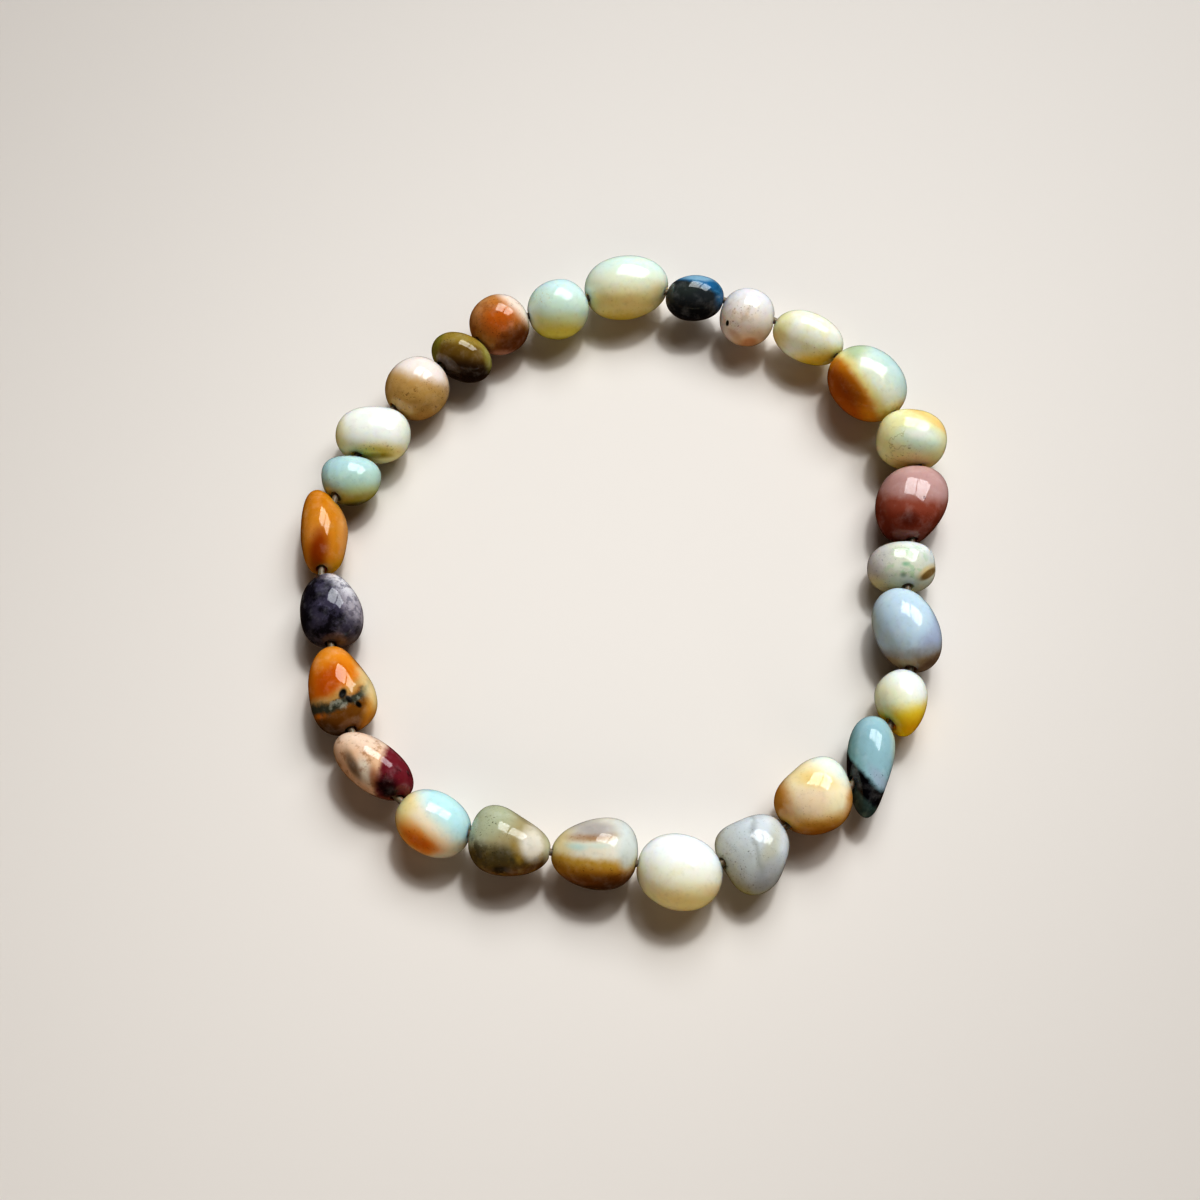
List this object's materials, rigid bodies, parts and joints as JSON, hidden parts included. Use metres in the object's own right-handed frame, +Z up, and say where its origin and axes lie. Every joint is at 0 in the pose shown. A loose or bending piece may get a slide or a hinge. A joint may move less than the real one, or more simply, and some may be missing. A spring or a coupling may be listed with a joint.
{
  "type": "beaded stretch bracelet",
  "caption": "Stretch bracelet of drilled, polished tumbled stones in mixed pale, yellow, orange and dark colours on one elastic string, lying flat as an open loop.",
  "frame": {"origin": "middle of the loop's outline, on the surface that the bracelet lies on", "axes": "+Z up from the surface, along the wrist when worn; +Y away from the viewer of the picture; +X to the viewer's right"},
  "size_m": [0.0678, 0.0728, 0.0071],
  "materials": {
    "stone_01_pale_mint": "polished, translucent pale mint with a yellow-green underside",
    "stone_02_dark_blue": "polished, nearly black blue with a steel-blue rim",
    "stone_03_milk_white": "polished, milky white and greyish pink with brown specks",
    "stone_04_lemon": "polished, translucent pale lemon",
    "stone_05_green_amber": "polished, translucent pale green running into amber",
    "stone_06_pale_yellow": "polished, pale yellow-green with fine cracks and a bluish middle",
    "stone_07_mauve": "polished, mauve above and brick red below",
    "stone_08_speckled_grey": "polished, pale grey-green with violet and green specks",
    "stone_09_blue_grey": "polished, light blue-grey with a speckled taupe end",
    "stone_10_yellow": "polished, translucent cream running into yellow",
    "stone_11_aqua_black": "polished, aqua with a black diagonal band and a teal-grey tip",
    "stone_12_honey_cream": "polished, cream with honey-coloured edges and brown specks",
    "stone_13_grey_green": "polished, grey lilac and olive green with dark specks",
    "stone_14_cream_white": "polished, milky cream white",
    "stone_15_ochre_ring": "polished, ochre with a lilac-grey patch ringed in brown",
    "stone_16_moss_grey": "polished, sage green, olive brown and ochre",
    "stone_17_sky_peach": "polished, aqua, cream white and speckled orange",
    "stone_18_cream_wine": "polished, cream and tan with a wine-red end",
    "stone_19_orange_black": "polished, orange with a black and grey-green band",
    "stone_20_slate_purple": "polished, mottled slate purple with a whitish rim",
    "stone_21_orange": "polished, ochre orange with a deeper patch",
    "stone_22_aqua": "polished, pale aqua with an olive-yellow edge",
    "stone_23_white_olive": "polished, cream white and pale green with olive specks",
    "stone_24_tan": "polished, speckled tan with a pinkish-white top",
    "stone_25_olive_brown": "polished, dark brown with an olive-yellow rim",
    "stone_26_rust": "polished, translucent orange brown with a pinkish rim",
    "stone_27_mint": "polished, pale mint with a yellow-green underside",
    "elastic_string": "milky, slightly see-through elastic string"
  },
  "bodies": {
    "root": {"stone_01_pale_mint": "stone_01_pale_mint", "stone_02_dark_blue": "stone_02_dark_blue", "stone_03_milk_white": "stone_03_milk_white", "stone_04_lemon": "stone_04_lemon", "stone_05_green_amber": "stone_05_green_amber", "stone_06_pale_yellow": "stone_06_pale_yellow", "stone_07_mauve": "stone_07_mauve", "stone_08_speckled_grey": "stone_08_speckled_grey", "stone_09_blue_grey": "stone_09_blue_grey", "stone_10_yellow": "stone_10_yellow", "stone_11_aqua_black": "stone_11_aqua_black", "stone_12_honey_cream": "stone_12_honey_cream", "stone_13_grey_green": "stone_13_grey_green", "stone_14_cream_white": "stone_14_cream_white", "stone_15_ochre_ring": "stone_15_ochre_ring", "stone_16_moss_grey": "stone_16_moss_grey", "stone_17_sky_peach": "stone_17_sky_peach", "stone_18_cream_wine": "stone_18_cream_wine", "stone_19_orange_black": "stone_19_orange_black", "stone_20_slate_purple": "stone_20_slate_purple", "stone_21_orange": "stone_21_orange", "stone_22_aqua": "stone_22_aqua", "stone_23_white_olive": "stone_23_white_olive", "stone_24_tan": "stone_24_tan", "stone_25_olive_brown": "stone_25_olive_brown", "stone_26_rust": "stone_26_rust", "stone_27_mint": "stone_27_mint", "elastic_string": "elastic_string"}
  },
  "joints": []
}
